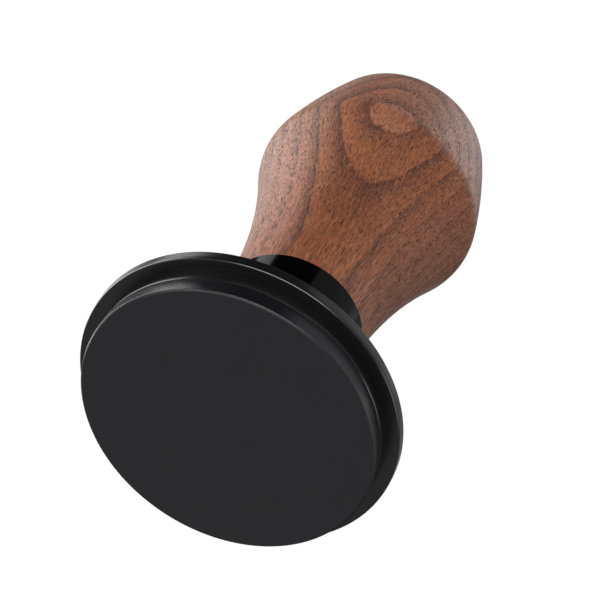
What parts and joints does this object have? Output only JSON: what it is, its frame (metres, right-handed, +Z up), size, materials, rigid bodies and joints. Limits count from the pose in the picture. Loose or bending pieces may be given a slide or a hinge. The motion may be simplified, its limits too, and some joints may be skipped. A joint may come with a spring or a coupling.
{
  "type": "espresso tamper",
  "caption": "Spring-loaded espresso tamper: round dark tamping base under a self-levelling flange, glossy black neck and a flared turned walnut handle.",
  "frame": {"origin": "centre of the flat tamping face, on the plane the tamper stands on", "axes": "+Z up the plunger's axis from the tamping face to the top of the handle; +X along the shaft's lock screw; +Y completes a right-handed frame"},
  "size_m": [0.064, 0.064, 0.104],
  "materials": {
    "black_steel": "satin black coating on turned stainless steel",
    "black_anodised": "satin black anodised",
    "gloss_black_neck": "glossy black",
    "walnut": "turned and oiled, satin",
    "bright_steel": "fine turned",
    "spring_steel": "drawn wire, lightly oiled",
    "dark_screws": "black oxide",
    "bush_polymer": "natural bearing polymer",
    "guide_polymer": "dark filled PTFE",
    "rubber": "matte",
    "brass": "turned"
  },
  "bodies": {
    "base": {"tamping_base": "black_steel", "plunger_shaft": "bright_steel", "shaft_lock_screw": "dark_screws", "spring_stop_washer": "bright_steel", "retaining_clip": "spring_steel", "seat_washer": "bright_steel", "plunger_nut": "bright_steel"},
    "lift_bush": {"sleeve_bush": "bush_polymer", "levelling_spring": "spring_steel"},
    "plate": {"levelling_plate": "black_anodised", "levelling_sleeve": "black_anodised", "sleeve_screws": "dark_screws"},
    "stroke_bush": {"guide_bush": "bush_polymer", "damper_ring": "rubber", "main_spring": "spring_steel"},
    "handle": {"neck_housing": "gloss_black_neck", "neck_guide_ring": "guide_polymer", "top_washer": "bright_steel", "preload_cap": "bright_steel", "preload_lock_ring": "bright_steel", "handle_insert": "brass", "handle_o_ring": "rubber", "walnut_handle": "walnut"}
  },
  "joints": [
    {"name": "plate_lift", "type": "slide", "parent": "base", "child": "lift_bush", "axis": [0, 0, 1], "range_m": [0, 0.01], "stiffness_N_per_m": 350, "springref_m": -0.005, "deforming": ["levelling_spring"]},
    {"name": "plate_spin", "type": "hinge", "parent": "lift_bush", "child": "plate", "pos_m": [0, 0, 0.008], "axis": [0, 0, 1], "continuous": true},
    {"name": "press_stroke", "type": "slide", "parent": "base", "child": "stroke_bush", "axis": [0, 0, 1], "range_m": [-0.005, 0], "stiffness_N_per_m": 10500, "springref_m": 0.0076, "deforming": ["main_spring"]},
    {"name": "handle_spin", "type": "hinge", "parent": "stroke_bush", "child": "handle", "pos_m": [0, 0, 0.05], "axis": [0, 0, 1], "continuous": true}
  ]
}
